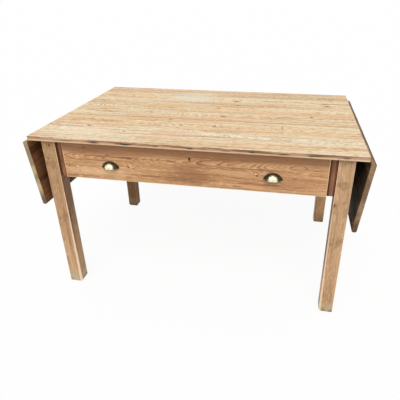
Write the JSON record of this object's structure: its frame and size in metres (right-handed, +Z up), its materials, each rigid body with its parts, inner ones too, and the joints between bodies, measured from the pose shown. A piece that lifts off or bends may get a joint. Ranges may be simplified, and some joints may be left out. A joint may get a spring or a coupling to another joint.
{
  "type": "drop-leaf farmhouse table",
  "caption": "Old scrubbed pine table on square legs, with a wide drawer on cup pulls, a keyhole, and a hinged leaf at each end.",
  "frame": {"origin": "on the floor under the middle of the table", "axes": "+X along the table's length to the right of someone facing the drawer, the drawer front faces -Y, +Z up"},
  "size_m": [1.396, 0.88, 0.77],
  "materials": {
    "top_pine": "scrubbed, nearly bare pine",
    "stained_pine": "old red-brown stain",
    "screw_steel": "dull, slotted",
    "hinge_iron": "dark, a little rusty",
    "aged_brass": "tarnished rim, rubbed dome",
    "lock_iron": "dark",
    "leaf_pine": "waxed, dark underside",
    "drawer_pine": "waxed",
    "leg_pine": "waxed, worn at the foot",
    "peg_oak": "waxed",
    "frame_pine": "dark, unfinished inside"
  },
  "bodies": {
    "table": {"top_board_1": "top_pine", "top_board_2": "top_pine", "top_board_3": "top_pine", "top_board_4": "top_pine", "top_board_5": "top_pine", "top_board_6": "top_pine", "front_left_leg": "leg_pine", "front_right_leg": "leg_pine", "back_left_leg": "leg_pine", "back_right_leg": "leg_pine", "left_end_rail": "frame_pine", "right_end_rail": "frame_pine", "back_rail": "frame_pine", "front_tie_rail": "frame_pine", "left_stile": "stained_pine", "right_stile": "stained_pine", "left_drawer_runner": "frame_pine", "right_drawer_runner": "frame_pine", "left_drawer_guide": "frame_pine", "right_drawer_guide": "frame_pine", "left_cross_batten": "frame_pine", "right_cross_batten": "frame_pine", "rail_pegs": "peg_oak", "glue_blocks": "frame_pine", "drawer_stops": "frame_pine", "top_screws": "screw_steel", "left_hinge_fixed_flaps": "hinge_iron", "right_hinge_fixed_flaps": "hinge_iron", "hinge_pins": "hinge_iron", "hinge_fixed_screws": "screw_steel"},
    "drawer": {"drawer_front": "drawer_pine", "drawer_left_side": "drawer_pine", "drawer_right_side": "drawer_pine", "drawer_back": "drawer_pine", "drawer_left_bottom": "drawer_pine", "drawer_right_bottom": "drawer_pine", "drawer_muntin": "drawer_pine", "left_cup_pull": "aged_brass", "right_cup_pull": "aged_brass", "pull_screws": "screw_steel", "lock_case": "lock_iron", "lock_screws": "screw_steel"},
    "lock_bolt": {"lock_bolt": "lock_iron"},
    "left_leaf": {"left_leaf_inner_board": "leaf_pine", "left_leaf_outer_board": "leaf_pine", "left_leaf_hinge_flaps": "hinge_iron", "left_leaf_hinge_screws": "screw_steel"},
    "right_leaf": {"right_leaf_inner_board": "leaf_pine", "right_leaf_outer_board": "leaf_pine", "right_leaf_hinge_flaps": "hinge_iron", "right_leaf_hinge_screws": "screw_steel"},
    "left_front_support": {"left_front_support": "frame_pine", "left_front_support_peg": "peg_oak"},
    "left_back_support": {"left_back_support": "frame_pine", "left_back_support_peg": "peg_oak"},
    "right_front_support": {"right_front_support": "frame_pine", "right_front_support_peg": "peg_oak"},
    "right_back_support": {"right_back_support": "frame_pine", "right_back_support_peg": "peg_oak"}
  },
  "joints": [
    {"name": "drawer_slide", "type": "slide", "parent": "table", "child": "drawer", "axis": [0, -1, 0], "range_m": [0, 0.45]},
    {"name": "lock_bolt_slide", "type": "slide", "parent": "drawer", "child": "lock_bolt", "axis": [0, 0, 1], "range_m": [0, 0.008]},
    {"name": "left_leaf_hinge", "type": "hinge", "parent": "table", "child": "left_leaf", "pos_m": [-0.67325, 0, 0.745], "axis": [0, 1, 0], "range_deg": [-3, 95.8]},
    {"name": "right_leaf_hinge", "type": "hinge", "parent": "table", "child": "right_leaf", "pos_m": [0.67325, 0, 0.745], "axis": [0, -1, 0], "range_deg": [-3, 95.8]},
    {"name": "left_front_support_slide", "type": "slide", "parent": "table", "child": "left_front_support", "axis": [-1, 0, 0], "range_m": [0, 0.045]},
    {"name": "left_back_support_slide", "type": "slide", "parent": "table", "child": "left_back_support", "axis": [-1, 0, 0], "range_m": [0, 0.045]},
    {"name": "right_front_support_slide", "type": "slide", "parent": "table", "child": "right_front_support", "axis": [1, 0, 0], "range_m": [0, 0.045]},
    {"name": "right_back_support_slide", "type": "slide", "parent": "table", "child": "right_back_support", "axis": [1, 0, 0], "range_m": [0, 0.045]}
  ]
}
